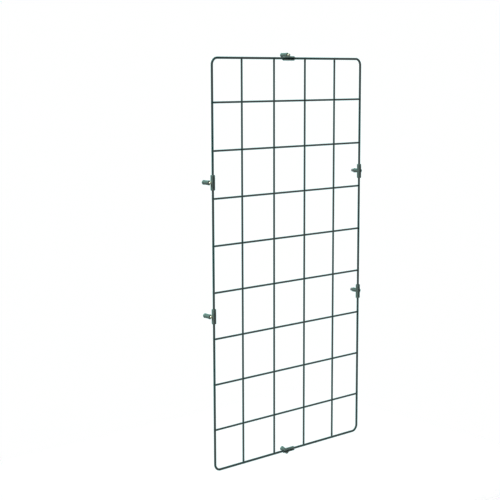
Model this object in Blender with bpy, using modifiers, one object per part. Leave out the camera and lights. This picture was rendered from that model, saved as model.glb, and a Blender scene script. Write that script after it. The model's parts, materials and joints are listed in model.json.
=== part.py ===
"""Wire trellis panel for a wall, held by six stand-off clips.

Metres, +Z up. The origin is the middle of the panel on the wall: the wall is the plane y = 0,
the grid hangs in front of it at negative y, and the wall plugs reach behind it.
"""

import math

import bmesh
import bpy

# Panel
WIDTH = 0.500                # over the outside of the frame wire
HEIGHT = 1.000
WALL_DISTANCE = 0.025        # from the wall to the middle of the frame wire
FRAME_WIRE = 0.0045          # diameters over the coating
GRID_WIRE = 0.0037
CORNER_RADIUS = 0.016        # at the middle of the frame wire
SIDE_CELL = 0.0925           # from the middle of the frame wire to the first upright
END_CELL = 0.1030            # from the middle of the frame wire to the first cross wire
UPRIGHTS = 4
CROSS_WIRES = 8
END_LAP = 0.0012             # a grid wire stops this far short of the middle of the frame wire

# Clearances
TOUCH = 0.0003               # between pieces that touch
GRIP_PLAY = 0.00025          # between the frame wire and the grip's bore

# Screw
SHANK = 0.0040
SCREW_LENGTH = 0.0185        # under the head
POINT = 0.0035               # length of the tapered point
HEAD = 0.0076
HEAD_RIM = 0.0008            # straight edge below the crown
HEAD_CROWN = 0.0017
RECESS_SPAN = 0.0044         # cross recess, end to end
RECESS_SLOT = 0.0010
RECESS_DEPTH = 0.0013

# Wall plug
PLUG = 0.0072
PLUG_LENGTH = 0.0168
PLUG_NOSE = 0.0040           # length of the rounded end
NOSE_WALL = 0.0006           # left round the hole at the tip
BARBS = 3
BARB_PITCH = 0.0025
BARB_DEPTH = 0.0004
SLIT = 0.0010                # parts the plug's two jaws
SLIT_LENGTH = 0.0095

# Clip
GRIP_LENGTH = 0.036
GRIP_WALL = 0.0025
GRIP_CHAMFER = 0.0009
MOUTH = 0.0036               # narrower than the wire, so that the grip keeps hold of it
LIP = 0.0008                 # flare at the mouth's outer edge
PARTING_WALL = 0.0013        # between the wire and the way in for the screw's head
TUBE_FRONT = 0.0028          # from the middle of the wire back to the tube's front rim
HEAD_RECESS = 0.0036         # from the front rim back to the step that the head pulls on
STEP = 0.0015
CUP_WALL = 0.0012
CUP_LENGTH = 0.0050
TUBE_WALL = 0.0010
FOOT_LIP = 0.00035
FOOT_LENGTH = 0.0022
EDGE = 0.0004                # small chamfer on the tube's rims
RIB = 0.0024                 # thickness of the web between grip and tube
RIB_REACH = 0.0145           # how far back the web runs

# Where the clips stand, from the top of the panel and from its middle
UPPER_CLIP_DROP = 0.2926
LOWER_CLIP_DROP = 0.6138
TOP_CLIP_SHIFT = -0.0055
BOTTOM_CLIP_SHIFT = -0.004

# How far each clip has turned on the wire, each plug has slid back from the step, and each
# screw is backed out
CLIP_TURN = {
    "top": 0.0,
    "bottom": math.radians(12),
    "left_upper": 0.0,
    "left_lower": 0.0,
    "right_upper": 0.0,
    "right_lower": 0.0,
}
PLUG_SLID = {
    "top": 0.0,
    "bottom": 0.0,
    "left_upper": 0.0014,
    "left_lower": 0.0027,
    "right_upper": 0.0081,
    "right_lower": 0.0072,
}
SCREW_OUT = {
    "top": 0.0068,
    "bottom": 0.0,
    "left_upper": 0.0068,
    "left_lower": 0.0056,
    "right_upper": 0.0,
    "right_lower": 0.0,
}

# Roundness
CORNER_STEPS = 8
FRAME_BEVEL = 6              # gives 16 sides
WIRE_SIDES = 16
COPE_SIDES = 24
GRIP_SIDES = 24
TUBE_SIDES = 24
SMALL_SIDES = 16
CROWN_STEPS = 4
NOSE_STEPS = 3
SMOOTH_ANGLE = math.radians(35)

# Sizes that follow
HALF_WIDTH = (WIDTH - FRAME_WIRE) / 2
HALF_HEIGHT = (HEIGHT - FRAME_WIRE) / 2
LAYER = (GRID_WIRE + TOUCH) / 2
GRIP_BORE = FRAME_WIRE + 2 * GRIP_PLAY
GRIP_RADIUS = GRIP_BORE / 2 + GRIP_WALL
HEAD_SEAT = HEAD + 2 * TOUCH
SHANK_HOLE = SHANK + 2 * TOUCH
PLUG_SEAT = PLUG + 2 * TOUCH
TUBE_RADIUS = PLUG_SEAT / 2 + TUBE_WALL
CUP_RADIUS = HEAD_SEAT / 2 + CUP_WALL
FOOT_RADIUS = TUBE_RADIUS + FOOT_LIP
TUBE_OFFSET = GRIP_BORE / 2 + PARTING_WALL + HEAD_SEAT / 2
STEP_FRONT = TUBE_FRONT + HEAD_RECESS
STEP_BACK = STEP_FRONT + STEP

RIGHT = 0.0
UP = -math.pi / 2
LEFT = math.pi
DOWN = math.pi / 2
FACING_FRONT = (math.pi / 2, 0.0, 0.0)


def clear_scene():
    """Remove what the file opened with."""
    for item in list(bpy.data.objects):
        bpy.data.objects.remove(item, do_unlink=True)


def new_collection(name):
    """Make a collection in the scene."""
    group = bpy.data.collections.new(name)
    bpy.context.scene.collection.children.link(group)
    return group


def new_material(name, colour, roughness, metallic=0.0):
    """Make a material from a colour, a roughness and a metallic value."""
    material = bpy.data.materials.new(name)
    material.use_nodes = True
    shader = material.node_tree.nodes["Principled BSDF"]
    shader.inputs["Base Color"].default_value = (*colour, 1.0)
    shader.inputs["Roughness"].default_value = roughness
    shader.inputs["Metallic"].default_value = metallic
    material.diffuse_color = (*colour, 1.0)
    return material


def add_object(name, data, group, parent=None):
    """Put a mesh or a curve in a collection."""
    item = bpy.data.objects.new(name, data)
    group.objects.link(item)
    item.parent = parent
    return item


def as_cutter(item):
    """Mark an object as one that only cuts."""
    item.display_type = "WIRE"
    item.hide_render = True
    return item


def boolean(item, other, operation):
    """Join or cut one object with another."""
    step = item.modifiers.new(operation.lower(), "BOOLEAN")
    step.operation = operation
    step.solver = "EXACT"
    step.object = other


def baked_mesh(item, name):
    """Give an object's finished mesh, welded, in the object's own axes."""
    bpy.context.view_layer.update()
    graph = bpy.context.evaluated_depsgraph_get()
    mesh = bpy.data.meshes.new_from_object(item.evaluated_get(graph))
    mesh.name = name
    work = bmesh.new()
    work.from_mesh(mesh)
    bmesh.ops.remove_doubles(work, verts=work.verts, dist=0.000001)
    work.to_mesh(mesh)
    work.free()
    mesh.shade_smooth()
    mesh.set_sharp_from_angle(angle=SMOOTH_ANGLE)
    return mesh


def discard(items):
    """Remove the helpers that a finished mesh no longer needs."""
    for item in items:
        bpy.data.objects.remove(item, do_unlink=True)


def turned(name, profile, steps, group):
    """Turn a profile of (radius, height) points, listed from the top down, round Z."""
    mesh = bpy.data.meshes.new(name)
    points = [(radius, 0.0, height) for radius, height in profile]
    mesh.from_pydata(points, [(i, i + 1) for i in range(len(points) - 1)], [])
    item = add_object(name, mesh, group)
    lathe = item.modifiers.new("lathe", "SCREW")
    lathe.steps = steps
    lathe.render_steps = steps
    lathe.use_merge_vertices = True
    lathe.merge_threshold = 0.00001
    lathe.use_smooth_shade = False
    return item


def cylinder(name, radius, length, sides, group):
    """Make a cylinder along Z, centred on its origin."""
    mesh = bpy.data.meshes.new(name)
    work = bmesh.new()
    bmesh.ops.create_cone(
        work, cap_ends=True, segments=sides, radius1=radius, radius2=radius, depth=length
    )
    work.to_mesh(mesh)
    work.free()
    mesh.shade_smooth()
    mesh.set_sharp_from_angle(angle=SMOOTH_ANGLE)
    return add_object(name, mesh, group)


def box(name, size, centre, group):
    """Make a box of a given size."""
    mesh = bpy.data.meshes.new(name)
    work = bmesh.new()
    bmesh.ops.create_cube(work, size=1.0)
    bmesh.ops.scale(work, vec=size, verts=work.verts)
    bmesh.ops.translate(work, vec=centre, verts=work.verts)
    work.to_mesh(mesh)
    work.free()
    return add_object(name, mesh, group)


def slab(name, outline, thickness, group):
    """Make a flat plate in the XY plane from its outline, as a welded mesh."""
    curve = bpy.data.curves.new(name, "CURVE")
    curve.dimensions = "2D"
    curve.fill_mode = "BOTH"
    curve.extrude = thickness / 2
    spline = curve.splines.new("POLY")
    spline.points.add(len(outline) - 1)
    for point, (x, y) in zip(spline.points, outline):
        point.co = (x, y, 0.0, 1.0)
    spline.use_cyclic_u = True
    drawn = add_object(name + "_outline", curve, group)
    item = add_object(name, baked_mesh(drawn, name), group)
    discard([drawn])
    return item


def flats(radius, sides):
    """Give the radius of a cutter whose flats, not its corners, stand at a radius."""
    return radius / math.cos(math.pi / sides)


def frame_curve():
    """Draw the frame wire's closed path as a tube."""
    curve = bpy.data.curves.new("frame_loop", "CURVE")
    curve.dimensions = "3D"
    curve.bevel_depth = FRAME_WIRE / 2
    curve.bevel_resolution = FRAME_BEVEL
    path = []
    for quarter, (side, level) in enumerate(((1, 1), (-1, 1), (-1, -1), (1, -1))):
        centre_x = side * (HALF_WIDTH - CORNER_RADIUS)
        centre_z = level * (HALF_HEIGHT - CORNER_RADIUS)
        for step in range(CORNER_STEPS + 1):
            angle = (quarter + step / CORNER_STEPS) * math.pi / 2
            path.append(
                (
                    centre_x + CORNER_RADIUS * math.cos(angle),
                    centre_z + CORNER_RADIUS * math.sin(angle),
                )
            )
    spline = curve.splines.new("POLY")
    spline.points.add(len(path) - 1)
    for point, (x, z) in zip(spline.points, path):
        point.co = (x, 0.0, z, 1.0)
    spline.use_cyclic_u = True
    return curve


def make_frame(parts, root, material):
    """Make the frame loop."""
    curve = frame_curve()
    curve.materials.append(material)
    frame = add_object("frame_loop", curve, parts, root)
    frame.location = (0.0, -WALL_DISTANCE, 0.0)
    return frame


def make_cope_cutters(tools, root):
    """Make the cylinders that hollow the grid wires' ends to sit on the frame wire."""
    radius = flats(FRAME_WIRE / 2 + TOUCH, COPE_SIDES)
    places = {
        "top": ((0.0, -WALL_DISTANCE, HALF_HEIGHT), (0.0, math.pi / 2, 0.0), WIDTH),
        "bottom": ((0.0, -WALL_DISTANCE, -HALF_HEIGHT), (0.0, math.pi / 2, 0.0), WIDTH),
        "left": ((-HALF_WIDTH, -WALL_DISTANCE, 0.0), (0.0, 0.0, 0.0), HEIGHT),
        "right": ((HALF_WIDTH, -WALL_DISTANCE, 0.0), (0.0, 0.0, 0.0), HEIGHT),
    }
    cutters = {}
    for side, (place, turn, length) in places.items():
        cutter = as_cutter(cylinder("cope_" + side, radius, length, COPE_SIDES, tools))
        cutter.parent = root
        cutter.location = place
        cutter.rotation_euler = turn
        cutters[side] = cutter
    return cutters


def make_grid(parts, root, material, cutters):
    """Make the uprights behind and the cross wires in front, coped onto the frame."""
    upright_pitch = (2 * HALF_WIDTH - 2 * SIDE_CELL) / (UPRIGHTS - 1)
    cross_pitch = (2 * HALF_HEIGHT - 2 * END_CELL) / (CROSS_WIRES - 1)
    for number in range(UPRIGHTS):
        wire = cylinder(
            f"upright_{number + 1}", GRID_WIRE / 2, 2 * (HALF_HEIGHT - END_LAP), WIRE_SIDES, parts
        )
        x = -HALF_WIDTH + SIDE_CELL + number * upright_pitch
        wire.location = (x, -WALL_DISTANCE + LAYER, 0.0)
        boolean(wire, cutters["top"], "DIFFERENCE")
        boolean(wire, cutters["bottom"], "DIFFERENCE")
        wire.parent = root
        wire.data.materials.append(material)
    for number in range(CROSS_WIRES):
        wire = cylinder(
            f"cross_wire_{number + 1}", GRID_WIRE / 2, 2 * (HALF_WIDTH - END_LAP), WIRE_SIDES, parts
        )
        z = HALF_HEIGHT - END_CELL - number * cross_pitch
        wire.location = (0.0, -WALL_DISTANCE - LAYER, z)
        wire.rotation_euler = (0.0, math.pi / 2, 0.0)
        boolean(wire, cutters["left"], "DIFFERENCE")
        boolean(wire, cutters["right"], "DIFFERENCE")
        wire.parent = root
        wire.data.materials.append(material)


def tube_profile():
    """List the tube's outline from its front rim to its foot, as radius and height."""
    front = -TUBE_FRONT
    back = -WALL_DISTANCE
    cup_end = front - CUP_LENGTH
    foot_start = back + FOOT_LENGTH
    taper = CUP_RADIUS - TUBE_RADIUS
    return [
        (0.0, front),
        (CUP_RADIUS - EDGE, front),
        (CUP_RADIUS, front - EDGE),
        (CUP_RADIUS, cup_end),
        (TUBE_RADIUS, cup_end - taper),
        (TUBE_RADIUS, foot_start + FOOT_LIP),
        (FOOT_RADIUS, foot_start),
        (FOOT_RADIUS, back + EDGE),
        (FOOT_RADIUS - EDGE, back),
        (0.0, back),
    ]


def grip_profile():
    """List the grip's outline from end to end."""
    end = GRIP_LENGTH / 2
    return [
        (0.0, end),
        (GRIP_RADIUS - GRIP_CHAMFER, end),
        (GRIP_RADIUS, end - GRIP_CHAMFER),
        (GRIP_RADIUS, -end + GRIP_CHAMFER),
        (GRIP_RADIUS - GRIP_CHAMFER, -end),
        (0.0, -end),
    ]


def along_tube(item, depth):
    """Lay a helper made along Z on the tube's axis, its middle at a depth behind the wire."""
    item.location = (TUBE_OFFSET, depth, 0.0)
    item.rotation_euler = FACING_FRONT


def clip_mesh(tools):
    """Make the clip in its own axes: the wire runs along Z, the tube beside it along +Y."""
    spare = 0.001
    grip = turned("grip", grip_profile(), GRIP_SIDES, tools)
    tube = turned("tube", tube_profile(), TUBE_SIDES, tools)
    along_tube(tube, 0.0)
    inner_side = TUBE_OFFSET - TUBE_RADIUS + TUBE_WALL / 2
    rib_outline = [
        (0.0, GRIP_BORE / 2 + GRIP_WALL / 2),
        (inner_side, GRIP_BORE / 2 + GRIP_WALL / 2),
        (inner_side, RIB_REACH),
    ]
    rib = slab("rib", rib_outline, RIB, tools)
    bore = cylinder(
        "wire_bore", flats(GRIP_BORE / 2, GRIP_SIDES), GRIP_LENGTH + 2 * spare, GRIP_SIDES, tools
    )
    half = MOUTH / 2
    mouth_outline = [
        (-half, 0.0),
        (-half, -GRIP_RADIUS + LIP),
        (-half - LIP - spare, -GRIP_RADIUS - spare),
        (half + LIP + spare, -GRIP_RADIUS - spare),
        (half, -GRIP_RADIUS + LIP),
        (half, 0.0),
    ]
    mouth = slab("mouth", mouth_outline, GRIP_LENGTH + 2 * spare, tools)
    driver_way = STEP_FRONT + GRIP_RADIUS + spare
    seat = cylinder("head_seat", flats(HEAD_SEAT / 2, TUBE_SIDES), driver_way, TUBE_SIDES, tools)
    along_tube(seat, STEP_FRONT - driver_way / 2)
    hole = cylinder(
        "shank_hole", flats(SHANK_HOLE / 2, SMALL_SIDES), STEP + 2 * spare, SMALL_SIDES, tools
    )
    along_tube(hole, STEP_FRONT + STEP / 2)
    plug_depth = WALL_DISTANCE - STEP_BACK
    plug_bore = cylinder(
        "plug_bore", flats(PLUG_SEAT / 2, TUBE_SIDES), plug_depth + spare, TUBE_SIDES, tools
    )
    along_tube(plug_bore, STEP_BACK + (plug_depth + spare) / 2)
    boolean(grip, tube, "UNION")
    boolean(grip, rib, "UNION")
    for cutter in (bore, mouth, seat, hole, plug_bore):
        boolean(grip, cutter, "DIFFERENCE")
    mesh = baked_mesh(grip, "stand_off_clip")
    discard([grip, tube, rib, bore, mouth, seat, hole, plug_bore])
    return mesh


def screw_mesh(tools):
    """Make the screw in its own axes: the head points along +Z from the seat at the origin."""
    crown = []
    for step in range(CROWN_STEPS + 1):
        angle = math.pi / 2 * (1 - step / CROWN_STEPS)
        crown.append((HEAD / 2 * math.cos(angle), HEAD_RIM + HEAD_CROWN * math.sin(angle)))
    crown[0] = (0.0, HEAD_RIM + HEAD_CROWN)
    profile = crown + [
        (HEAD / 2, 0.0),
        (SHANK / 2, 0.0),
        (SHANK / 2, POINT - SCREW_LENGTH),
        (0.0, -SCREW_LENGTH),
    ]
    screw = turned("screw", profile, SMALL_SIDES, tools)
    top = HEAD_RIM + HEAD_CROWN
    centre = (0.0, 0.0, top)
    helpers = [screw]
    for span in ((RECESS_SPAN, RECESS_SLOT), (RECESS_SLOT, RECESS_SPAN)):
        slot = box("recess", (*span, 2 * RECESS_DEPTH), centre, tools)
        boolean(screw, slot, "DIFFERENCE")
        helpers.append(slot)
    mesh = baked_mesh(screw, "screw")
    discard(helpers)
    return mesh


def plug_mesh(tools):
    """Make the wall plug in its own axes: it runs down -Z from its front end at the origin."""
    outer = PLUG / 2
    hole = SHANK_HOLE / 2
    barbs = []
    for number in range(BARBS):
        height = PLUG_NOSE - PLUG_LENGTH + (BARBS - number) * BARB_PITCH
        barbs += [(outer, height), (outer - BARB_DEPTH, height - BARB_PITCH + BARB_DEPTH)]
    nose = []
    for step in range(NOSE_STEPS + 1):
        angle = math.pi / 2 * step / NOSE_STEPS
        tip = hole + NOSE_WALL
        nose.append(
            (
                tip + (outer - tip) * math.cos(angle),
                PLUG_NOSE - PLUG_LENGTH - PLUG_NOSE * math.sin(angle),
            )
        )
    profile = [(hole, -PLUG_LENGTH), (hole, 0.0), (outer, 0.0)]
    profile += barbs + nose + [(hole, -PLUG_LENGTH)]
    plug = turned("plug", profile, SMALL_SIDES, tools)
    slit_size = (SLIT, 2 * PLUG, 2 * SLIT_LENGTH)
    slit = box("slit", slit_size, (0.0, 0.0, -PLUG_LENGTH), tools)
    boolean(plug, slit, "DIFFERENCE")
    mesh = baked_mesh(plug, "wall_plug")
    discard([plug, slit])
    return mesh


def make_fixings(parts, tools, root, clip_material, plug_material, screw_material):
    """Place the six clips on the frame wire, each with its wall plug and screw."""
    shapes = {"clip": clip_mesh(tools), "plug": plug_mesh(tools), "screw": screw_mesh(tools)}
    shapes["clip"].materials.append(clip_material)
    shapes["plug"].materials.append(plug_material)
    shapes["screw"].materials.append(screw_material)
    upper = HEIGHT / 2 - UPPER_CLIP_DROP
    lower = HEIGHT / 2 - LOWER_CLIP_DROP
    places = {
        "top": (TOP_CLIP_SHIFT, HALF_HEIGHT, UP),
        "bottom": (BOTTOM_CLIP_SHIFT, -HALF_HEIGHT, DOWN),
        "left_upper": (-HALF_WIDTH, upper, LEFT),
        "left_lower": (-HALF_WIDTH, lower, LEFT),
        "right_upper": (HALF_WIDTH, upper, RIGHT),
        "right_lower": (HALF_WIDTH, lower, RIGHT),
    }
    for name, (x, z, outward) in places.items():
        clip = add_object("clip_" + name, shapes["clip"], parts, root)
        clip.location = (x, -WALL_DISTANCE, z)
        clip.rotation_mode = "ZYX"
        clip.rotation_euler = (0.0, outward, CLIP_TURN[name])
        plug = add_object("wall_plug_" + name, shapes["plug"], parts, clip)
        plug.location = (TUBE_OFFSET, STEP_BACK + TOUCH + PLUG_SLID[name], 0.0)
        plug.rotation_euler = FACING_FRONT
        screw = add_object("screw_" + name, shapes["screw"], parts, clip)
        screw.location = (TUBE_OFFSET, STEP_FRONT - TOUCH - SCREW_OUT[name], 0.0)
        screw.rotation_euler = FACING_FRONT


def main():
    """Build the panel."""
    clear_scene()
    parts = new_collection("trellis_panel")
    tools = new_collection("trellis_panel_cutters")
    root = add_object("panel_origin", None, parts)
    coating = new_material("green_wire_coating", (0.018, 0.032, 0.028), 0.45)
    clip_plastic = new_material("green_clip_plastic", (0.070, 0.115, 0.098), 0.45)
    nylon = new_material("grey_nylon", (0.110, 0.112, 0.110), 0.55)
    zinc = new_material("yellow_zinc", (0.740, 0.710, 0.590), 0.35, 1.0)
    make_frame(parts, root, coating)
    cutters = make_cope_cutters(tools, root)
    make_grid(parts, root, coating, cutters)
    make_fixings(parts, tools, root, clip_plastic, nylon, zinc)


main()
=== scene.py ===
"""Looks of the wall trellis panel: coated wires, weld coats, moulded clips, plugs and screws.

Lengths are in metres unless a name says otherwise, and named angles in degrees.
"""

from __future__ import annotations

import json
import logging
import math
from dataclasses import dataclass, field
from enum import Enum
from typing import Any, Iterable, Sequence

import bmesh
import bpy
from bmesh.types import BMesh, BMEdge, BMVert
from mathutils import Matrix, Vector


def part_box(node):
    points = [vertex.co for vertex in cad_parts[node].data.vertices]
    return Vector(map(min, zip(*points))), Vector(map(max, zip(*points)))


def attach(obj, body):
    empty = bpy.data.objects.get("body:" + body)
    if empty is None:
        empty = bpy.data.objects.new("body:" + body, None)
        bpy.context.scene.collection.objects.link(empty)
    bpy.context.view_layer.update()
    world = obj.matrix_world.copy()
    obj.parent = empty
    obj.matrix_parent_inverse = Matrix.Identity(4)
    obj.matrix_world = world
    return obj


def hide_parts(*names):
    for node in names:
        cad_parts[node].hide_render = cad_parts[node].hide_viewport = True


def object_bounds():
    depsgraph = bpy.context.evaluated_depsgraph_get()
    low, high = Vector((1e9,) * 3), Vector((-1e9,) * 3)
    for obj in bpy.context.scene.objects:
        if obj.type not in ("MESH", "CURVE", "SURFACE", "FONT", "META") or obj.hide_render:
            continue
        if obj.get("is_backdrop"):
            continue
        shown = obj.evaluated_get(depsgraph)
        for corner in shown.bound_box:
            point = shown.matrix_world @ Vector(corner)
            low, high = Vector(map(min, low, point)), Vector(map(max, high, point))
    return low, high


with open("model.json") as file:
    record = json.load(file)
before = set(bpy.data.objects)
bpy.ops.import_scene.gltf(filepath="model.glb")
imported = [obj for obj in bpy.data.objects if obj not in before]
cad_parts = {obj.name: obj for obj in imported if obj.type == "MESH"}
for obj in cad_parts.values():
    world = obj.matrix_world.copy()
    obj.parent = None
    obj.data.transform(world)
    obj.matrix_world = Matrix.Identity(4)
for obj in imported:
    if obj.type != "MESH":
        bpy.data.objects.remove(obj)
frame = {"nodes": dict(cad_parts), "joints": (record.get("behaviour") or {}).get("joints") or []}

LOG = logging.getLogger("trellis_panel")

Colour = tuple[float, float, float]
Band = tuple[float, float]
Outline = Sequence[tuple[float, float]]
ToneCurve = Sequence[tuple[float, float]]

WHITE = (1.0, 1.0, 1.0, 1.0)
UP = Vector((0.0, 0.0, 1.0))
RIGHT = Vector((1.0, 0.0, 0.0))
BACK = Vector((0.0, 1.0, 0.0))
UP_TO_RIGHT = Matrix.Rotation(math.pi / 2, 4, BACK)
UP_TO_FRONT = Matrix.Rotation(math.pi / 2, 4, RIGHT)
# Corners closer than WELD are one corner; SEAM holds where a loop of wire closes.
WELD = 1e-6
SEAM = 1e-5
# Edges past this angle stay sharp.
SHARP = math.radians(40)


class Slot(Enum):
    """The record's material slots."""

    COATING = "wire_coating"
    CLIP = "clip_plastic"
    PLUG = "plug_nylon"
    SCREW = "screw_zinc"


class Combine(Enum):
    """Ways to put two closed shapes together."""

    JOIN = "UNION"
    CUT = "DIFFERENCE"


class Curve(Enum):
    """The picture's colour curves, by number."""

    RED = 0
    ALL = 3


class Value:
    """A shader socket that takes Python's operators as Math nodes."""

    def __init__(self, graph: Graph, socket: bpy.types.NodeSocket) -> None:
        """Keep the socket and the graph that new nodes go into."""
        self.graph = graph
        self.socket = socket

    def _math(self, operation: str, first: Any, second: Any) -> Value:
        """Add one Math node."""
        return self.graph.node("ShaderNodeMath", {"operation": operation}, {0: first, 1: second})

    def __add__(self, other: Value | float) -> Value:
        """Add."""
        return self._math("ADD", self, other)

    __radd__ = __add__

    def __sub__(self, other: Value | float) -> Value:
        """Subtract."""
        return self._math("SUBTRACT", self, other)

    def __rsub__(self, other: Value | float) -> Value:
        """Subtract from a number."""
        return self._math("SUBTRACT", other, self)

    def __mul__(self, other: Value | float) -> Value:
        """Multiply."""
        return self._math("MULTIPLY", self, other)

    __rmul__ = __mul__

    def swing(self, spread: float) -> Value:
        """Centre noise on 0, with half the spread either side of it."""
        return (self - 0.5) * spread


class Graph:
    """One material and the nodes that feed its Principled shader."""

    # The Mix node's colour sockets share their names with others, so they go by number.
    MIX_FIRST = 6
    MIX_SECOND = 7
    MIX_RESULT = 2

    def __init__(self, name: str) -> None:
        """Start a material.

        Args:
            name: The material's name.
        """
        self.material = bpy.data.materials.new(name)
        self.material.use_nodes = True
        self.tree = self.material.node_tree
        self.shader = self.tree.nodes["Principled BSDF"]

    def node(
        self,
        kind: str,
        settings: dict[str, Any] | None = None,
        sockets: dict[str | int, Any] | None = None,
        output: str | int = 0,
    ) -> Value:
        """Add a node.

        Args:
            kind: The node's type.
            settings: Properties to set first; "stops" fills a colour ramp.
            sockets: Values or links of its inputs, by name or number.
            output: Name or number of the output that is wanted.

        Returns:
            That output, ready for Python's operators.
        """
        made = self.tree.nodes.new(kind)
        for key, value in (settings or {}).items():
            if key == "stops":
                self.fill(made.color_ramp, value)
            else:
                setattr(made, key, value)
        for key, value in (sockets or {}).items():
            self.feed(made.inputs[key], value)
        return Value(self, made.outputs[output])

    @staticmethod
    def fill(ramp: bpy.types.ColorRamp, stops: Sequence[tuple[float, Colour]]) -> None:
        """Set the places and colours of a colour ramp, in order.

        Args:
            ramp: The ramp.
            stops: Place and colour of each stop, from left to right.
        """
        for place, _ in stops[1:-1]:
            ramp.elements.new(place)
        for element, (place, colour) in zip(ramp.elements, stops):
            element.position = place
            element.color = (*colour, 1.0)

    def feed(self, socket: bpy.types.NodeSocket, value: Any) -> None:
        """Link or set one input.

        Args:
            socket: The input.
            value: A Value to link, or a number, colour or vector to set.
        """
        if isinstance(value, Value):
            self.tree.links.new(value.socket, socket)
        elif socket.type == "RGBA" and len(value) == 3:
            socket.default_value = (*value, 1.0)
        else:
            socket.default_value = value

    def coordinates(self) -> Value:
        """Give the piece's own Object coordinates."""
        return self.node("ShaderNodeTexCoord", output="Object")

    def noise(
        self,
        scale: float,
        detail: float = 2.0,
        roughness: float = 0.5,
        distortion: float = 0.0,
    ) -> Value:
        """Give cloudy noise from 0 to 1, centred on a half.

        Args:
            scale: Features per metre.
            detail: Octaves.
            roughness: Share of the finer octaves.
            distortion: How far the clouds are drawn into swirls.

        Returns:
            The noise.
        """
        return self.node(
            "ShaderNodeTexNoise",
            sockets={
                "Vector": self.coordinates(),
                "Scale": scale,
                "Detail": detail,
                "Roughness": roughness,
                "Distortion": distortion,
            },
        )

    def step(self, value: Value, band: Band) -> Value:
        """Rise smoothly from 0 at the start of a band to 1 at its end.

        Args:
            value: What the step reads.
            band: Where the rise starts and ends.

        Returns:
            A value from 0 to 1.
        """
        low, high = band
        return self.node(
            "ShaderNodeMapRange",
            {"interpolation_type": "SMOOTHSTEP"},
            {"Value": value, "From Min": low, "From Max": high},
        )

    def mix(self, factor: Value, first: Any, second: Any) -> Value:
        """Blend two colours.

        Args:
            factor: 0 for the first, 1 for the second.
            first: A colour or a Value.
            second: A colour or a Value.

        Returns:
            The blended colour.
        """
        return self.node(
            "ShaderNodeMix",
            {"data_type": "RGBA"},
            {"Factor": factor, self.MIX_FIRST: first, self.MIX_SECOND: second},
            output=self.MIX_RESULT,
        )

    def bump(self, height: Value, distance: float, below: Value | None = None) -> Value:
        """Turn a height into a normal.

        Args:
            height: Height from 0 to 1.
            distance: Real height in metres of a step from 0 to 1.
            below: The normal of a coarser bump under this one.

        Returns:
            The bent normal.
        """
        sockets: dict[str | int, Any] = {"Height": height, "Strength": 1.0, "Distance": distance}
        if below is not None:
            sockets["Normal"] = below
        return self.node("ShaderNodeBump", sockets=sockets)

    def finish(self, colour: Any, roughness: Any, normal: Any, **uniform: Any) -> None:
        """Feed the shader.

        Args:
            colour: Base Color.
            roughness: Roughness.
            normal: Normal.
            uniform: Values that are the same all over, by socket name with underscores.
        """
        self.feed(self.shader.inputs["Base Color"], colour)
        self.feed(self.shader.inputs["Roughness"], roughness)
        self.feed(self.shader.inputs["Normal"], normal)
        for name, value in uniform.items():
            self.shader.inputs[name.replace("_", " ")].default_value = value


@dataclass(frozen=True)
class WireCoating:
    """Dipped plastic coat on the wires: dark grey-green and satin, a little uneven."""

    deep: Colour = (0.0090, 0.038, 0.0345)
    pale: Colour = (0.0150, 0.058, 0.053)
    dust: Colour = (0.088, 0.100, 0.092)
    ior: float = 1.47
    specular_level: float = 0.20
    specular_tint: tuple[float, float, float, float] = (0.35, 1.0, 0.92, 1.0)
    cloud_scale: float = 11.0
    mottle_scale: float = 140.0
    mottle_share: float = 0.35
    tone_band: Band = (0.50, 0.85)
    speck_scale: float = 1500.0
    speck_band: Band = (0.70, 0.76)
    speck_share: float = 0.35
    speck_roughness: float = 0.15
    roughness: float = 0.44
    patch_scale: float = 60.0
    patch_roughness: float = 0.22
    sag_scale: float = 85.0
    sag_height: float = 0.00006
    peel_scale: float = 1100.0
    peel_height: float = 0.00002

    def material(self) -> bpy.types.Material:
        """Build the coat's material.

        Returns:
            The material.
        """
        graph = Graph("dipped_wire_coat")
        cloud = graph.noise(self.cloud_scale, detail=3.0)
        mottle = graph.noise(self.mottle_scale) * self.mottle_share
        tone = graph.step(cloud + mottle, self.tone_band)
        clean = graph.mix(tone, self.deep, self.pale)
        specks = graph.step(graph.noise(self.speck_scale, detail=1.0), self.speck_band)
        patches = graph.noise(self.patch_scale).swing(self.patch_roughness)
        sag = graph.bump(graph.noise(self.sag_scale), self.sag_height)
        peel = graph.bump(graph.noise(self.peel_scale), self.peel_height, sag)
        graph.finish(
            graph.mix(specks * self.speck_share, clean, self.dust),
            self.roughness + patches + specks * self.speck_roughness,
            peel,
            IOR=self.ior,
            Specular_IOR_Level=self.specular_level,
            Specular_Tint=self.specular_tint,
        )
        return graph.material


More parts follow.
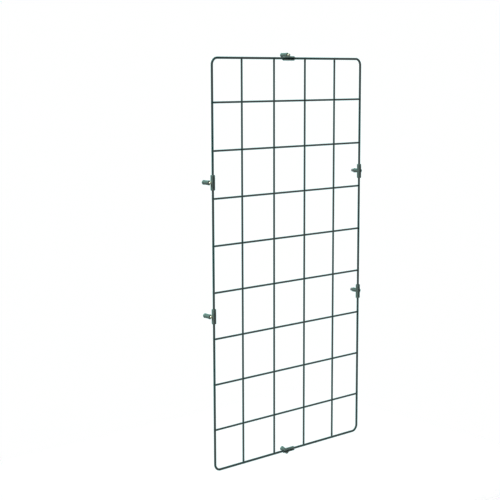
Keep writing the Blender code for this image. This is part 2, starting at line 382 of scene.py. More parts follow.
@dataclass(frozen=True)
class ClipPlastic:
    """Moulded clip plastic: lighter grey-green, finely grained, with faint flow marks."""

    deep: Colour = (0.087, 0.145, 0.125)
    pale: Colour = (0.120, 0.184, 0.161)
    scuff: Colour = (0.165, 0.213, 0.192)
    ior: float = 1.49
    specular_level: float = 0.26
    flow_scale: float = 120.0
    flow_distortion: float = 1.6
    flow_band: Band = (0.35, 0.65)
    flow_height: float = 0.00005
    scuff_scale: float = 420.0
    scuff_band: Band = (0.64, 0.72)
    scuff_share: float = 0.30
    scuff_roughness: float = 0.12
    roughness: float = 0.42
    grain_scale: float = 2600.0
    grain_roughness: float = 0.18
    grain_height: float = 0.000018

    def material(self) -> bpy.types.Material:
        """Build the clip plastic's material.

        Returns:
            The material.
        """
        graph = Graph("moulded_clip_plastic")
        flow = graph.noise(self.flow_scale, detail=3.0, distortion=self.flow_distortion)
        clean = graph.mix(graph.step(flow, self.flow_band), self.deep, self.pale)
        scratched = graph.noise(self.scuff_scale, detail=4.0, roughness=0.7)
        scuffs = graph.step(scratched, self.scuff_band)
        grain = graph.noise(self.grain_scale, roughness=0.6)
        graph.finish(
            graph.mix(scuffs * self.scuff_share, clean, self.scuff),
            self.roughness + grain.swing(self.grain_roughness) + scuffs * self.scuff_roughness,
            graph.bump(grain, self.grain_height, graph.bump(flow, self.flow_height)),
            IOR=self.ior,
            Specular_IOR_Level=self.specular_level,
        )
        return graph.material


@dataclass(frozen=True)
class PlugNylon:
    """Grey nylon of the wall plugs: dull and slightly waxy."""

    deep: Colour = (0.140, 0.130, 0.133)
    pale: Colour = (0.208, 0.192, 0.195)
    ior: float = 1.53
    roughness: float = 0.52
    cloud_scale: float = 260.0
    cloud_band: Band = (0.35, 0.65)
    cloud_roughness: float = 0.25
    grain_scale: float = 1900.0
    grain_height: float = 0.00003

    def material(self) -> bpy.types.Material:
        """Build the nylon's material.

        Returns:
            The material.
        """
        graph = Graph("wall_plug_nylon")
        cloud = graph.noise(self.cloud_scale, detail=3.0)
        grain = graph.noise(self.grain_scale, detail=3.0, roughness=0.6)
        graph.finish(
            graph.mix(graph.step(cloud, self.cloud_band), self.deep, self.pale),
            self.roughness + cloud.swing(self.cloud_roughness),
            graph.bump(grain, self.grain_height),
            IOR=self.ior,
        )
        return graph.material


@dataclass(frozen=True)
class YellowZinc:
    """Pale yellowish zinc plating of the screws, with cloudy passivation."""

    silver: Colour = (0.95, 0.93, 0.82)
    straw: Colour = (0.92, 0.88, 0.70)
    olive: Colour = (0.80, 0.78, 0.60)
    stops: tuple[float, float, float] = (0.36, 0.52, 0.66)
    metallic: float = 0.35
    roughness: float = 0.36
    cloud_scale: float = 420.0
    cloud_roughness: float = 0.20
    scratch_scale: float = 3600.0
    scratch_roughness: float = 0.12
    scratch_height: float = 0.00001

    def material(self) -> bpy.types.Material:
        """Build the plating's material.

        Returns:
            The material.
        """
        graph = Graph("pale_yellow_zinc")
        cloud = graph.noise(self.cloud_scale, detail=3.0)
        scratches = graph.noise(self.scratch_scale, roughness=0.7)
        colours = (self.silver, self.straw, self.olive)
        wear = cloud.swing(self.cloud_roughness)
        graph.finish(
            graph.node(
                "ShaderNodeValToRGB", {"stops": tuple(zip(self.stops, colours))}, {"Fac": cloud}
            ),
            self.roughness + wear + scratches.swing(self.scratch_roughness),
            graph.bump(scratches, self.scratch_height),
            Metallic=self.metallic,
        )
        return graph.material


@dataclass(frozen=True)
class StudioFloor:
    """Plain pale floor."""

    colour: Colour = (0.478, 0.478, 0.478)
    roughness: float = 0.85

    def material(self) -> bpy.types.Material:
        """Build the floor's material.

        Returns:
            The material.
        """
        graph = Graph("pale_floor")
        graph.feed(graph.shader.inputs["Base Color"], self.colour)
        graph.feed(graph.shader.inputs["Roughness"], self.roughness)
        return graph.material


def middle(node: str) -> Vector:
    """Give the middle of a CAD node."""
    low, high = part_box(node)
    return (low + high) / 2


def facing(outward: Vector, back: Vector) -> Matrix:
    """Give the turn that takes +X to one direction and +Y to another, square to the first."""
    return Matrix((outward, back, outward.cross(back))).transposed().to_4x4()


def quarter_turn(steps: int) -> list[float]:
    """List angles from 0 to a right angle, evenly spaced."""
    return [math.pi / 2 * step / steps for step in range(steps + 1)]


def turned(outline: Outline, sides: int, ring: bool = False) -> BMesh:
    """Turn an outline round Z.

    Args:
        outline: Radius and height of each point, in order.
        sides: Number of flats round the shape.
        ring: Whether the outline closes on itself, as round a bore.

    Returns:
        A closed shape.
    """
    work = bmesh.new()
    points = [work.verts.new((radius, 0.0, height)) for radius, height in outline]
    following = points[1:] + points[:1] if ring else points[1:]
    lines = [work.edges.new(pair) for pair in zip(points, following)]
    bmesh.ops.spin(
        work,
        geom=points + lines,
        cent=(0.0, 0.0, 0.0),
        axis=UP,
        angle=math.tau,
        steps=sides,
        use_merge=True,
    )
    bmesh.ops.remove_doubles(work, verts=work.verts, dist=WELD)
    bmesh.ops.recalc_face_normals(work, faces=work.faces)
    return work


def rod(radius: float, length: float, sides: int) -> BMesh:
    """Make a plain cylinder along Z, centred on the origin.

    Args:
        radius: Its radius.
        length: Its length.
        sides: Number of flats round it.

    Returns:
        A closed shape.
    """
    work = bmesh.new()
    bmesh.ops.create_cone(
        work, cap_ends=True, segments=sides, radius1=radius, radius2=radius, depth=length
    )
    return work


def block(size: tuple[float, float, float]) -> BMesh:
    """Make a box, centred on the origin.

    Args:
        size: Its size along X, Y and Z.

    Returns:
        A closed shape.
    """
    work = bmesh.new()
    bmesh.ops.create_cube(work, size=1.0)
    bmesh.ops.scale(work, vec=size, verts=work.verts)
    return work


def prism(outline: Outline, thickness: float) -> BMesh:
    """Extrude an outline in the XY plane.

    Args:
        outline: The outline's corners.
        thickness: Thickness along Z, centred on the plane.

    Returns:
        A closed shape.
    """
    work = bmesh.new()
    face = work.faces.new([work.verts.new((x, y, -thickness / 2)) for x, y in outline])
    made = bmesh.ops.extrude_face_region(work, geom=[face])
    raised = [item for item in made["geom"] if isinstance(item, BMVert)]
    bmesh.ops.translate(work, vec=UP * thickness, verts=raised)
    bmesh.ops.recalc_face_normals(work, faces=work.faces)
    return work


def moved(work: BMesh, matrix: Matrix) -> BMesh:
    """Move a shape and give it back."""
    bmesh.ops.transform(work, matrix=matrix, verts=work.verts)
    return work


def meshed(name: str, work: BMesh) -> bpy.types.Mesh:
    """Turn a shape into a mesh and free the shape.

    Args:
        name: The mesh's name.
        work: The shape.

    Returns:
        The mesh.
    """
    mesh = bpy.data.meshes.new(name)
    work.to_mesh(mesh)
    work.free()
    return mesh


def added(name: str, data: bpy.types.ID) -> bpy.types.Object:
    """Add an object to the scene.

    Args:
        name: The object's name.
        data: Its mesh, camera or light.

    Returns:
        The object.
    """
    item = bpy.data.objects.new(name, data)
    bpy.context.scene.collection.objects.link(item)
    return item


def temporary(work: BMesh) -> bpy.types.Object:
    """Turn a shape into an object for a modifier, and free the shape."""
    return added("bench", meshed("bench", work))


def evaluated(item: bpy.types.Object, helpers: Iterable[bpy.types.Object] = ()) -> BMesh:
    """Read an object's finished shape and clear the bench.

    Args:
        item: The object with its modifiers.
        helpers: Objects that only its modifiers needed.

    Returns:
        The finished shape.
    """
    bpy.context.view_layer.update()
    graph = bpy.context.evaluated_depsgraph_get()
    work = bmesh.new()
    work.from_mesh(item.evaluated_get(graph).to_mesh())
    for used in (item, *helpers):
        mesh = used.data
        bpy.data.objects.remove(used, do_unlink=True)
        bpy.data.meshes.remove(mesh)
    return work


def combined(base: BMesh, others: Iterable[BMesh], how: Combine) -> BMesh:
    """Join or cut closed shapes.

    Args:
        base: The shape to work on.
        others: The shapes to join to it or cut from it.
        how: Join or cut.

    Returns:
        The result; the shapes that went in are freed.
    """
    item = temporary(base)
    helpers = [temporary(other) for other in others]
    for helper in helpers:
        step = item.modifiers.new("combine", "BOOLEAN")
        step.operation = how.value
        step.solver = "EXACT"
        step.object = helper
    return evaluated(item, helpers)


def skinned(work: BMesh, cell: float, passes: int) -> BMesh:
    """Give closed, overlapping shapes one common skin with rounded corners.

    Args:
        work: The shapes.
        cell: Size of the skin's mesh.
        passes: Smoothing passes; more passes give larger fillets.

    Returns:
        The skin.
    """
    item = temporary(work)
    step = item.modifiers.new("skin", "REMESH")
    step.mode = "VOXEL"
    step.voxel_size = cell
    skin = evaluated(item)
    for _ in range(passes):
        bmesh.ops.smooth_vert(
            skin, verts=skin.verts, factor=0.5, use_axis_x=True, use_axis_y=True, use_axis_z=True
        )
    return skin


def gathered(shapes: Iterable[BMesh]) -> BMesh:
    """Put several shapes into one bmesh and free them.

    Args:
        shapes: The shapes, which may touch or cross.

    Returns:
        One bmesh that holds them all.
    """
    result = bmesh.new()
    for shape in shapes:
        mesh = meshed("bench", shape)
        result.from_mesh(mesh)
        bpy.data.meshes.remove(mesh)
    return result


@dataclass
class Piece:
    """Where a finished shape belongs."""

    name: str
    body: str
    slot: Slot
    material: bpy.types.Material
    replaced: tuple[str, ...] = ()

    def place(self, work: BMesh) -> None:
        """Make the object, at the origin with its place in its mesh, and let it ride on its body.

        Args:
            work: The finished shape in world coordinates; it is freed.
        """
        mesh = meshed(self.name, work)
        mesh.shade_smooth()
        mesh.set_sharp_from_angle(angle=SHARP)
        mesh.materials.append(self.material)
        item = added(self.name, mesh)
        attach(item, self.body)
        if self.replaced:
            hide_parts(*self.replaced)
        LOG.info("%s: %d faces on %s", self.name, len(mesh.polygons), self.body)


class WireRun:
    """A round wire drawn by moving one ring of edges through space."""

    def __init__(self, radius: float, sides: int, start: Vector, heading: Vector) -> None:
        """Set the ring at the start.

        Args:
            radius: Radius of the wire.
            sides: Number of flats round it.
            start: Middle of the first ring.
            heading: Direction in which the wire sets off.
        """
        self.work = bmesh.new()
        bmesh.ops.create_circle(self.work, segments=sides, radius=radius)
        turn = heading.to_track_quat("Z", "Y").to_matrix().to_4x4()
        moved(self.work, Matrix.Translation(start) @ turn)
        self.ring = list(self.work.edges)
        self.place = start.copy()
        self.heading = heading.copy()

    def straight(self, length: float) -> list[BMVert]:
        """Run straight on.

        Args:
            length: How far.

        Returns:
            The corners of the ring at the end.
        """
        made = bmesh.ops.extrude_edge_only(self.work, edges=self.ring)
        corners = [item for item in made["geom"] if isinstance(item, BMVert)]
        ends = set(corners)
        self.ring = [
            item
            for item in made["geom"]
            if isinstance(item, BMEdge) and item.verts[0] in ends and item.verts[1] in ends
        ]
        bmesh.ops.translate(self.work, vec=self.heading * length, verts=corners)
        self.place += self.heading * length
        return corners

    def swell(self, length: float, rise: float, steps: int) -> None:
        """Thicken smoothly and come back, as the coat does over a butt weld.

        Args:
            length: Length of the swelling.
            rise: Extra share of the radius at its middle.
            steps: Rings along it.
        """
        before = 1.0
        for step in range(1, steps + 1):
            corners = self.straight(length / steps)
            after = 1.0 + rise * math.sin(math.pi * step / steps) ** 2
            share = after / before
            bmesh.ops.scale(
                self.work,
                vec=(share, share, share),
                space=Matrix.Translation(-self.place),
                verts=corners,
            )
            before = after

    def bend(self, centre: Vector, axis: Vector, angle: float, steps: int) -> None:
        """Run round a bend.

        Args:
            centre: Middle of the bend.
            axis: Axis of the bend.
            angle: Angle turned, right-handed about the axis.
            steps: Rings round the bend.
        """
        made = bmesh.ops.spin(
            self.work, geom=self.ring, cent=centre, axis=axis, angle=angle, steps=steps
        )
        self.ring = [item for item in made["geom_last"] if isinstance(item, BMEdge)]
        turn = Matrix.Rotation(angle, 3, axis)
        self.place = centre + turn @ (self.place - centre)
        self.heading = turn @ self.heading

    def closed(self) -> BMesh:
        """Join the last ring to the first and give the wire.

        Returns:
            The closed loop of wire.
        """
        bmesh.ops.remove_doubles(self.work, verts=self.work.verts, dist=SEAM)
        bmesh.ops.recalc_face_normals(self.work, faces=self.work.faces)
        return self.work


@dataclass
class WirePanel:
    """The welded grid: frame loop, uprights, cross wires and the coat over their welds.

    At a weld the coat is a sleeve round each wire and a nugget between the two. A sleeve reaches
    coat_reach either way, and over its last coat_taper it dives under the wire's surface.
    """

    coat: bpy.types.Material
    corner_radius: float = 0.016
    corner_steps: int = 20
    frame_sides: int = 32
    grid_sides: int = 28
    end_round: float = 0.0007
    end_steps: int = 4
    butt_weld_from_left: float = 0.335
    butt_weld_length: float = 0.012
    butt_weld_rise: float = 0.09
    butt_weld_steps: int = 10
    coat_over_weld: float = 0.00012
    coat_reach: float = 0.0064
    coat_taper: float = 0.0042
    coat_dive: float = 0.00014
    nugget: float = 0.0019
    nugget_share: float = 0.6
    stub_start: float = 0.0002
    skin_cell: float = 0.00028
    skin_passes: int = 5

    def __post_init__(self) -> None:
        """Read the wires' places from the frame."""
        low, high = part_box("frame_loop")
        self.frame_radius = (high.y - low.y) / 2
        inset = Vector((self.frame_radius,) * 3)
        self.low = low + inset
        self.high = high - inset
        self.depth = middle("frame_loop").y
        self.uprights = sorted(n for n in frame["nodes"] if n.startswith("upright_"))
        self.cross_wires = sorted(n for n in frame["nodes"] if n.startswith("cross_wire_"))
        low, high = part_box(self.uprights[0])
        self.grid_radius = (high.x - low.x) / 2

    def piece(self, name: str, *replaced: str) -> Piece:
        """Name a coated piece of the panel."""
        return Piece(name, "panel", Slot.COATING, self.coat, replaced)

    def build(self) -> None:
        """Build every piece of the grid."""
        self.build_frame()
        for node in self.uprights:
            self.build_wire(node, UP)
        for node in self.cross_wires:
            self.build_wire(node, RIGHT)
        self.build_crossings()
        self.build_ends()

    def build_frame(self) -> None:
        """Draw the frame loop from its butt weld round to itself."""
        radius = self.corner_radius
        width = self.high.x - self.low.x - 2 * radius
        height = self.high.z - self.low.z - 2 * radius
        seam = self.low.x + self.butt_weld_from_left
        run = WireRun(
            self.frame_radius, self.frame_sides, Vector((seam, self.depth, self.low.z)), RIGHT
        )
        run.swell(self.butt_weld_length, self.butt_weld_rise, self.butt_weld_steps)
        first = self.high.x - radius - run.place.x
        for length in (first, height, width, height):
            run.straight(length)
            inward = Vector((-run.heading.z, 0.0, run.heading.x))
            centre = run.place + inward * radius
            run.bend(centre, -BACK, math.pi / 2, self.corner_steps)
        run.straight(seam - run.place.x)
        self.piece("coated_frame_loop", "frame_loop").place(run.closed())

    def build_wire(self, node: str, along: Vector) -> None:
        """Draw one straight wire with rounded ends.

        Args:
            node: The CAD wire that it stands for.
            along: Direction of the wire.
        """
        low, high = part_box(node)
        half = (high - low).dot(along) / 2
        arc = [
            (
                self.grid_radius - self.end_round * (1 - math.sin(angle)),
                half - self.end_round * (1 - math.cos(angle)),
            )
            for angle in quarter_turn(self.end_steps)
        ]
        outline = [(0.0, half), *arc, *[(r, -z) for r, z in reversed(arc)], (0.0, -half)]
        turn = UP.rotation_difference(along).to_matrix().to_4x4()
        wire = turned(outline, self.grid_sides)
        self.piece("coated_" + node, node).place(
            moved(wire, Matrix.Translation(middle(node)) @ turn)
        )

    def sleeve(self, radius: float) -> BMesh:
        """Make the coat round a stretch of wire at a weld, along Z.

        Args:
            radius: Radius of the wire.

        Returns:
            A sleeve that dives under the wire's surface at both ends.
        """
        thick = radius + self.coat_over_weld
        thin = radius - self.coat_dive
        reach = self.coat_reach
        full = reach - self.coat_taper
        outline = [(0.0, reach), (thin, reach), (thick, full), (thick, -full)]
        outline += [(thin, -reach), (0.0, -reach)]
        return turned(outline, self.grid_sides)

    def drop(self, at: Vector) -> BMesh:
        """Make the coat's filling between two wires.

        Args:
            at: Its middle.

        Returns:
            A ball.
        """
        work = bmesh.new()
        bmesh.ops.create_icosphere(work, subdivisions=3, radius=self.nugget)
        return moved(work, Matrix.Translation(at))

    def crossing(self) -> BMesh:
        """Make the coat at one crossing, round the point midway between the two wires.

        Returns:
            The coat, with the upright along Z behind the cross wire along X.
        """
        aside = BACK * (middle(self.uprights[0]).y - middle(self.cross_wires[0]).y) / 2
        behind = moved(self.sleeve(self.grid_radius), Matrix.Translation(aside))
        before = moved(self.sleeve(self.grid_radius), Matrix.Translation(-aside) @ UP_TO_RIGHT)
        shapes = gathered([behind, before, self.drop(Vector())])
        return skinned(shapes, self.skin_cell, self.skin_passes)

    def build_crossings(self) -> None:
        """Put the coat on every crossing, a row at a time."""
        pattern = self.crossing()
        columns = [middle(node).x for node in self.uprights]
        for number, node in enumerate(self.cross_wires, 1):
            level = middle(node).z
            row = [
                moved(pattern.copy(), Matrix.Translation((x, self.depth, level))) for x in columns
            ]
            self.piece(f"weld_coats_row_{number}").place(gathered(row))
        pattern.free()

    def ending(self) -> BMesh:
        """Make the coat where a wire ends on the frame.

        Returns:
            The coat, with the frame wire along Z at the origin and the other wire leaving
            along +X, in front of it.
        """
        forward = middle(self.cross_wires[0]).y - self.depth
        stub_place = Vector((self.coat_reach + self.stub_start, forward, 0.0))
        stub = moved(
            self.sleeve(self.grid_radius), Matrix.Translation(stub_place) @ UP_TO_RIGHT
        )
        nugget = self.drop(Vector((self.frame_radius, forward, 0.0)) * self.nugget_share)
        shapes = gathered([self.sleeve(self.frame_radius), stub, nugget])
        return skinned(shapes, self.skin_cell, self.skin_passes)

    def build_ends(self) -> None:
        """Put the coat on every wire end, a side of the frame at a time."""
        pattern = self.ending()
        levels = [middle(node).z for node in self.cross_wires]
        columns = [middle(node).x for node in self.uprights]
        sides = (
            ("left", facing(RIGHT, BACK), [(self.low.x, self.depth, z) for z in levels]),
            ("right", facing(-RIGHT, BACK), [(self.high.x, self.depth, z) for z in levels]),
            ("top", facing(-UP, -BACK), [(x, self.depth, self.high.z) for x in columns]),
            ("bottom", facing(UP, -BACK), [(x, self.depth, self.low.z) for x in columns]),
        )
        for side, turn, places in sides:
            shapes = [moved(pattern.copy(), Matrix.Translation(place) @ turn) for place in places]
            self.piece(f"end_coats_{side}").place(gathered(shapes))
        pattern.free()


class ClipPlace(Enum):
    """Where on the frame the clips stand."""

    TOP = "top"
    BOTTOM = "bottom"
    LEFT_UPPER = "left_upper"
    LEFT_LOWER = "left_lower"
    RIGHT_UPPER = "right_upper"
    RIGHT_LOWER = "right_lower"


@dataclass
class StandOffClip:
    """The stand-off clip: a split grip, a tube for the screw and plug, and a web between them.

    In the clip's own axes the wire runs along Z at the origin, +X points away from the panel
    and +Y to the wall. The tube's fronts, backs and steps are depths behind the wire's axis.
    """

    tube_offset: float
    grip_length: float = 0.036
    grip_radius: float = 0.0050
    grip_bore: float = 0.0025
    grip_round: float = 0.0009
    mouth: float = 0.0036
    lip: float = 0.0008
    tube_front: float = 0.0028
    tube_back: float = 0.0250
    tube_radius: float = 0.0049
    cup_radius: float = 0.0053
    cup_length: float = 0.0050
    foot_radius: float = 0.00525
    foot_length: float = 0.0022
    seat_radius: float = 0.0041
    step_front: float = 0.0064
    step_back: float = 0.0079
    shank_hole: float = 0.0023
    plug_bore: float = 0.0039
    rim: float = 0.0004
    web: float = 0.0024
    web_reach: float = 0.0145
    sides: int = 64
    skin_cell: float = 0.00024
    skin_passes: int = 3
    spare: float = 0.001

    def bore(self, radius: float, start: float, end: float) -> BMesh:
        """Make a rod on the tube's axis between two depths."""
        place = Matrix.Translation((self.tube_offset, (start + end) / 2, 0.0))
        return moved(rod(radius, end - start, self.sides), place @ UP_TO_FRONT)

    def tube_outline(self) -> Outline:
        """List the tube's outline, with heights running forward from the wall.

        Returns:
            Radius and height of each point.
        """
        front = -self.tube_front
        back = -self.tube_back
        cup_end = front - self.cup_length
        foot = back + self.foot_length
        taper = self.cup_radius - self.tube_radius
        flare = self.foot_radius - self.tube_radius
        return [
            (0.0, front),
            (self.cup_radius - self.rim, front),
            (self.cup_radius, front - self.rim),
            (self.cup_radius, cup_end),
            (self.tube_radius, cup_end - taper),
            (self.tube_radius, foot + flare),
            (self.foot_radius, foot),
            (self.foot_radius, back + self.rim),
            (self.foot_radius - self.rim, back),
            (0.0, back),
        ]

    def grip_outline(self) -> Outline:
        """List the grip's outline from end to end.

        Returns:
            Radius and height of each point.
        """
        half = self.grip_length / 2
        shoulder = half - self.grip_round
        neck = self.grip_radius - self.grip_round
        return [
            (0.0, half),
            (neck, half),
            (self.grip_radius, shoulder),
            (self.grip_radius, -shoulder),
            (neck, -half),
            (0.0, -half),
        ]

    def web_outline(self) -> Outline:
        """List the corners of the web between grip and tube.

        Returns:
            Place of each corner, outward and to the wall.
        """
        start = (self.grip_bore + self.grip_radius) / 2
        inner = self.tube_offset - (self.tube_radius + self.plug_bore) / 2
        return [(0.0, start), (inner, start), (inner, self.web_reach)]

    def mouth_outline(self) -> Outline:
        """List the corners of the grip's mouth, with its flared lips.

        Returns:
            Place of each corner, outward and to the wall.
        """
        half = self.mouth / 2
        edge = -self.grip_radius
        beyond = edge - self.spare
        flare = half + self.lip + self.spare
        return [
            (-half, 0.0),
            (-half, edge + self.lip),
            (-flare, beyond),
            (flare, beyond),
            (half, edge + self.lip),
            (half, 0.0),
        ]

    def shape(self) -> BMesh:
        """Build the clip in its own axes.

        Returns:
            The clip, with rounded edges.
        """
        grip = turned(self.grip_outline(), self.sides)
        tube_place = Matrix.Translation((self.tube_offset, 0.0, 0.0)) @ UP_TO_FRONT
        tube = moved(turned(self.tube_outline(), self.sides), tube_place)
        web = prism(self.web_outline(), self.web)
        solid = combined(grip, [tube, web], Combine.JOIN)
        past = self.spare
        length = self.grip_length + 2 * past
        cutters = [
            rod(self.grip_bore, length, self.sides),
            prism(self.mouth_outline(), length),
            self.bore(self.seat_radius, -self.grip_radius - past, self.step_front),
            self.bore(self.shank_hole, self.step_front - past, self.step_back + past),
            self.bore(self.plug_bore, self.step_back, self.tube_back + past),
        ]
        return skinned(combined(solid, cutters, Combine.CUT), self.skin_cell, self.skin_passes)


@dataclass
class PanScrew:
    """The screw in its own axes: head along +Z from its seat at the origin."""

    head_radius: float = 0.0038
    head_rim: float = 0.0008
    head_crown: float = 0.0017
    length: float = 0.0185
    point: float = 0.0035
    core_radius: float = 0.00145
    thread_radius: float = 0.00198
    thread_pitch: float = 0.0018
    flank_share: float = 0.32
    plain_neck: float = 0.0020
    neck_radius: float = 0.0019
    recess_span: float = 0.0044
    recess_slot: float = 0.0010
    recess_depth: float = 0.0014
    recess_taper: float = 0.55
    edge: float = 0.00022
    sides: int = 40
    steps_per_turn: int = 24
    crown_steps: int = 8

    @property
    def head_height(self) -> float:
        """Height of the head above its seat."""
        return self.head_rim + self.head_crown

    def blank(self) -> BMesh:
        """Turn the head, the neck and the core.

        Returns:
            The screw without its thread.
        """
        outline = [
            (
                self.head_radius * math.sin(angle),
                self.head_rim + self.head_crown * math.cos(angle),
            )
            for angle in quarter_turn(self.crown_steps)
        ]
        outline += [
            (self.head_radius, self.edge),
            (self.head_radius - self.edge, 0.0),
            (self.neck_radius + self.edge, 0.0),
            (self.neck_radius, -self.edge),
            (self.neck_radius, -self.plain_neck),
            (self.core_radius, -self.plain_neck - self.edge),
            (self.core_radius, self.point - self.length),
            (0.0, -self.length),
        ]
        return turned(outline, self.sides)

    def recess(self) -> BMesh:
        """Make the cross that the driver fits.

        Returns:
            A cutter for the head.
        """
        arms = []
        for turn in (0.0, math.pi / 2):
            arm = block((self.recess_span, self.recess_slot, 2 * self.recess_depth))
            floor = [v for v in arm.verts if v.co.z < 0]
            bmesh.ops.scale(arm, vec=(self.recess_taper, self.recess_taper, 1.0), verts=floor)
            top = Matrix.Translation(UP * self.head_height)
            arms.append(moved(arm, top @ Matrix.Rotation(turn, 4, UP)))
        return combined(arms[0], arms[1:], Combine.JOIN)

    def thread(self) -> BMesh:
        """Wind the thread's ridge down the core.

        Returns:
            The ridge, sunk a little into the core.
        """
        work = bmesh.new()
        flank = self.thread_pitch * self.flank_share
        inside = self.core_radius - self.edge
        start = -self.plain_neck - flank
        corners = [
            work.verts.new((inside, 0.0, start + flank)),
            work.verts.new((self.thread_radius, 0.0, start)),
            work.verts.new((inside, 0.0, start - flank)),
        ]
        section = work.faces.new(corners)
        run = self.length - self.plain_neck - self.point
        turns = run / self.thread_pitch
        steps = round(turns * self.steps_per_turn)
        bmesh.ops.spin(
            work,
            geom=[section],
            cent=(0.0, 0.0, 0.0),
            axis=UP,
            dvec=-UP * run / steps,
            angle=math.tau * turns,
            steps=steps,
        )
        bmesh.ops.recalc_face_normals(work, faces=work.faces)
        return work

    def shape(self) -> BMesh:
        """Build the screw in its own axes."""
        head = combined(self.blank(), [self.recess()], Combine.CUT)
        return gathered([head, self.thread()])


@dataclass
class WallPlug:
    """The nylon plug in its own axes: from its front end at the origin down -Z."""

    radius: float = 0.0036
    length: float = 0.0168
    nose: float = 0.0040
    nose_wall: float = 0.0006
    hole: float = 0.0023
    barbs: int = 3
    barb_pitch: float = 0.0025
    barb_depth: float = 0.0004
    slit: float = 0.0010
    slit_length: float = 0.0095
    flute: float = 0.0007
    flute_depth: float = 0.00035
    edge: float = 0.00025
    sides: int = 48
    nose_steps: int = 8

    def body(self) -> BMesh:
        """Turn the plug with its barbs, its rounded nose and its bore.

        Returns:
            The plug without its slit and flutes.
        """
        tip = self.hole + self.nose_wall
        outline = [
            (self.hole, -self.length),
            (self.hole, -self.edge),
            (self.hole + self.edge, 0.0),
            (self.radius - self.edge, 0.0),
            (self.radius, -self.edge),
        ]
        for number in range(self.barbs, 0, -1):
            height = self.nose - self.length + number * self.barb_pitch
            low = height - self.barb_pitch + self.barb_depth
            outline += [(self.radius, height), (self.radius - self.barb_depth, low)]
        outline += [
            (
                tip + (self.radius - tip) * math.cos(angle),
                self.nose - self.length - self.nose * math.sin(angle),
            )
            for angle in quarter_turn(self.nose_steps)
        ]
        return turned(outline, self.sides, ring=True)

    def shape(self) -> BMesh:
        """Build the plug in its own axes.

        Returns:
            The plug.
        """
        slit = block((self.slit, 4 * self.radius, 2 * self.slit_length))
        cutters = [moved(slit, Matrix.Translation(-UP * self.length))]
        run = self.length - self.slit_length
        centre = Matrix.Translation((self.radius, 0.0, -run / 2 - self.flute))
        for quarter in range(4):
            flute = block((2 * self.flute_depth, self.flute, run))
            cutters.append(moved(flute, Matrix.Rotation(math.pi / 2 * quarter, 4, UP) @ centre))
        return combined(self.body(), cutters, Combine.CUT)


@dataclass
class Fixings:
    """The six clips with their screws and plugs."""

    plastic: bpy.types.Material
    nylon: bpy.types.Material
    zinc: bpy.types.Material

    def joint(self, name: str) -> tuple[Vector, Vector]:
        """Give a point on a joint's axis, and the axis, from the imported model."""
        found = next(j for j in frame["joints"] if j["name"] == name)
        return Vector(found["pos_m"]), Vector(found["axis"])

    def build(self) -> None:
        """Build the three patterns once and place a copy of each at every clip."""
        wire, _ = self.joint(ClipPlace.TOP.value + "_swivel")
        tube, _ = self.joint(ClipPlace.TOP.value + "_screw_turn")
        screw = PanScrew()
        shapes = (StandOffClip((tube - wire).length).shape(), screw.shape(), WallPlug().shape())
        for place in ClipPlace:
            self.place(place.value, shapes, screw.head_height)
        for shape in shapes:
            shape.free()

    def place(self, name: str, shapes: tuple[BMesh, BMesh, BMesh], head: float) -> None:
        """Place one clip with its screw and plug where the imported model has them.

        Args:
            name: The clip's place on the frame.
            shapes: The clip, the screw and the plug in their own axes.
            head: Height of the screw's head above its seat.
        """
        wire, _ = self.joint(name + "_swivel")
        tube, back = self.joint(name + "_screw_turn")
        across = (tube - wire).normalized()
        turn = facing(across, back)
        along_tube = turn @ UP_TO_FRONT
        seat = tube + back * (self.front_of("screw_" + name, tube, back) + head)
        mouth = tube + back * self.front_of("wall_plug_" + name, tube, back)
        pieces = (
            Piece(
                f"moulded_clip_{name}", f"{name}_clip", Slot.CLIP, self.plastic, (f"clip_{name}",)
            ),
            Piece(
                f"pan_screw_{name}", f"{name}_screw", Slot.SCREW, self.zinc, (f"screw_{name}",)
            ),
            Piece(
                f"nylon_plug_{name}", f"{name}_plug", Slot.PLUG, self.nylon, (f"wall_plug_{name}",)
            ),
        )
        places = (
            Matrix.Translation(wire) @ turn,
            Matrix.Translation(seat) @ along_tube,
            Matrix.Translation(mouth) @ along_tube,
        )
        for piece, shape, where in zip(pieces, shapes, places):
            piece.place(moved(shape.copy(), where))

    def front_of(self, node: str, tube: Vector, back: Vector) -> float:
        """Give how far behind a point of the tube's axis a node's front end lies."""
        return min((v.co - tube).dot(back) for v in frame["nodes"][node].data.vertices)


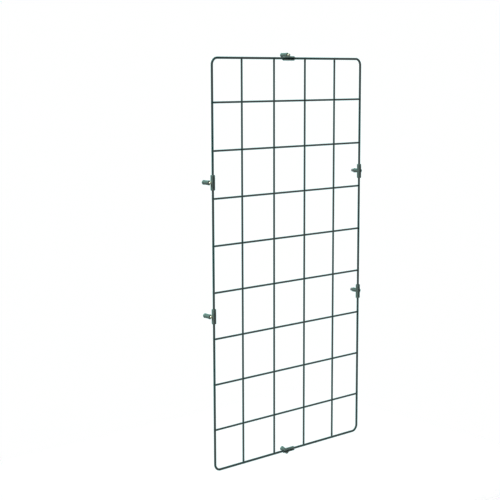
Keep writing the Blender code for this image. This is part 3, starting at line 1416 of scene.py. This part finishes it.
@dataclass
class Studio:
    """The photograph's camera and tones, one wide sun, a pale floor and a white background."""

    camera_place: Vector = field(default_factory=lambda: Vector((-1.9474, -2.1176, 0.4553)))
    camera_heading: float = 40.93
    camera_pitch: float = -8.61
    camera_roll: float = -0.212
    lens_mm: float = 82.73
    sensor_mm: float = 36.0
    near: float = 0.05
    far: float = 200.0
    floor_drop: float = 0.45
    floor_size: float = 3.2
    world: float = 0.12
    backdrop: float = 1.0
    key_from: Vector = field(default_factory=lambda: Vector((-0.84, 0.04, 1.28)))
    key_strength: float = 7.5
    key_spread: float = 18.0
    film: ToneCurve = ((0.055, 0.052), (0.20, 0.130), (0.50, 0.355), (0.80, 0.695))
    film_red: ToneCurve = ((0.20, 0.180), (0.50, 0.430), (0.80, 0.720))

    def build(self) -> None:
        """Set up the studio."""
        self.build_camera()
        self.build_floor()
        self.build_world()
        self.build_key()
        self.build_film()

    def build_camera(self) -> None:
        """Stand the camera where the photograph was taken from."""
        camera = added("camera", bpy.data.cameras.new("camera"))
        camera.data.lens = self.lens_mm
        camera.data.sensor_width = self.sensor_mm
        camera.data.clip_start = self.near
        camera.data.clip_end = self.far
        turn = Matrix.Rotation(-math.radians(self.camera_heading), 4, UP)
        tilt = Matrix.Rotation(math.pi / 2 + math.radians(self.camera_pitch), 4, RIGHT)
        roll = Matrix.Rotation(math.radians(self.camera_roll), 4, UP)
        camera.matrix_world = Matrix.Translation(self.camera_place) @ turn @ tilt @ roll
        bpy.context.scene.camera = camera

    def build_floor(self) -> None:
        """Lay the floor below the panel."""
        work = bmesh.new()
        bmesh.ops.create_grid(work, x_segments=1, y_segments=1, size=self.floor_size / 2)
        low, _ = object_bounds()
        moved(work, Matrix.Translation((0.0, 0.0, low.z - self.floor_drop)))
        mesh = meshed("studio_floor", work)
        mesh.materials.append(StudioFloor().material())
        floor = added("studio_floor", mesh)
        floor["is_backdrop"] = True

    def build_world(self) -> None:
        """Light everything softly, in front of a white background."""
        world = bpy.data.worlds.new("studio")
        world.use_nodes = True
        tree = world.node_tree
        light = tree.nodes["Background"]
        seen = tree.nodes.new("ShaderNodeBackground")
        for node, strength in ((light, self.world), (seen, self.backdrop)):
            node.inputs["Color"].default_value = WHITE
            node.inputs["Strength"].default_value = strength
        path = tree.nodes.new("ShaderNodeLightPath")
        mix = tree.nodes.new("ShaderNodeMixShader")
        tree.links.new(path.outputs["Is Camera Ray"], mix.inputs[0])
        tree.links.new(light.outputs[0], mix.inputs[1])
        tree.links.new(seen.outputs[0], mix.inputs[2])
        tree.links.new(mix.outputs[0], tree.nodes["World Output"].inputs["Surface"])
        bpy.context.scene.world = world

    def build_film(self) -> None:
        """Give the picture the photograph's response: deep middle tones under pure white."""
        view = bpy.context.scene.view_settings
        view.view_transform = "Standard"
        view.use_curve_mapping = True
        for curve, tones in ((Curve.ALL, self.film), (Curve.RED, self.film_red)):
            for light, shown in tones:
                view.curve_mapping.curves[curve.value].points.new(light, shown)
        view.curve_mapping.update()

    def build_key(self) -> None:
        """Light the panel from the left and above with a wide, soft sun."""
        data = bpy.data.lights.new("key", "SUN")
        data.energy = self.key_strength
        data.angle = math.radians(self.key_spread)
        light = added("key", data)
        light.rotation_euler = (-self.key_from).to_track_quat("-Z", "Y").to_euler()


def main() -> None:
    """Dress the panel and set up the studio."""
    logging.basicConfig(level=logging.INFO, format="%(message)s")
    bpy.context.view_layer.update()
    Studio().build()
    WirePanel(WireCoating().material()).build()
    Fixings(ClipPlastic().material(), PlugNylon().material(), YellowZinc().material()).build()


if __name__ == "__main__":
    main()
